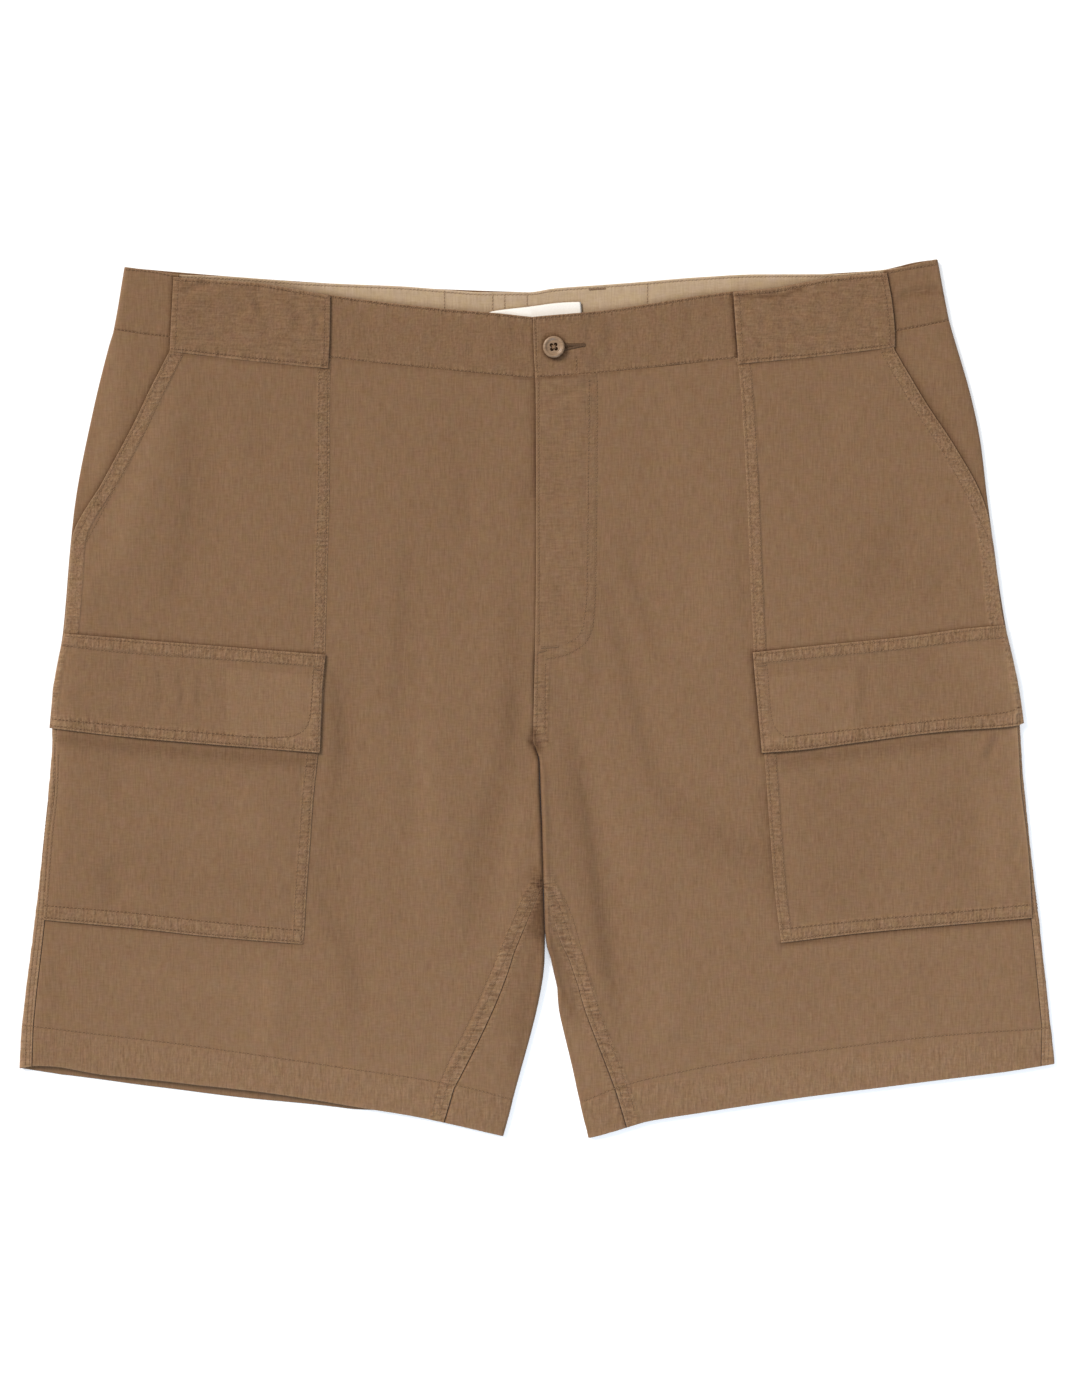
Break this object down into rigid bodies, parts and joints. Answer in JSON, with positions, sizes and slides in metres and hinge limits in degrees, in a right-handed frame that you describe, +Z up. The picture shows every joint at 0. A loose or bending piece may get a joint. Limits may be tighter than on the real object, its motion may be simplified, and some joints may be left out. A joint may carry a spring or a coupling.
{
  "type": "cargo shorts, laid flat",
  "caption": "Cargo shorts laid flat, front up, with slanted hand pockets, flapped thigh pockets, wide belt loops, a plain waistband and a button fly.",
  "frame": {"origin": "middle of the footprint, on the surface that the shorts lie on", "axes": "+X towards the wearer's left side (right as seen from above, waist away), +Y towards the waist, +Z up, out of the front of the shorts"},
  "size_m": [0.6734, 0.5684, 0.0097],
  "materials": {
    "shell_cloth": "fine plain-weave cotton with slight upright slubs, matt, warm brown, stitched in thread of its own colour",
    "facing_cloth": "plain-weave cotton, matt, light tan",
    "label_cloth": "smooth woven label tape, blank, off-white",
    "button_resin": "brown resin made to look like horn, satin"
  },
  "bodies": {
    "root": {"front_right": "shell_cloth", "front_left": "shell_cloth", "back_right": "shell_cloth", "back_left": "shell_cloth", "waistband_front_right": "shell_cloth", "waistband_front_left": "shell_cloth", "waistband_back": "shell_cloth", "waistband_back_facing": "facing_cloth", "belt_loop_right": "shell_cloth", "belt_loop_left": "shell_cloth", "hand_pocket_right": "shell_cloth", "hand_pocket_left": "shell_cloth", "cargo_pocket_right": "shell_cloth", "cargo_pocket_left": "shell_cloth", "cargo_flap_right": "shell_cloth", "cargo_flap_left": "shell_cloth", "label": "label_cloth", "button": "button_resin"}
  },
  "joints": []
}
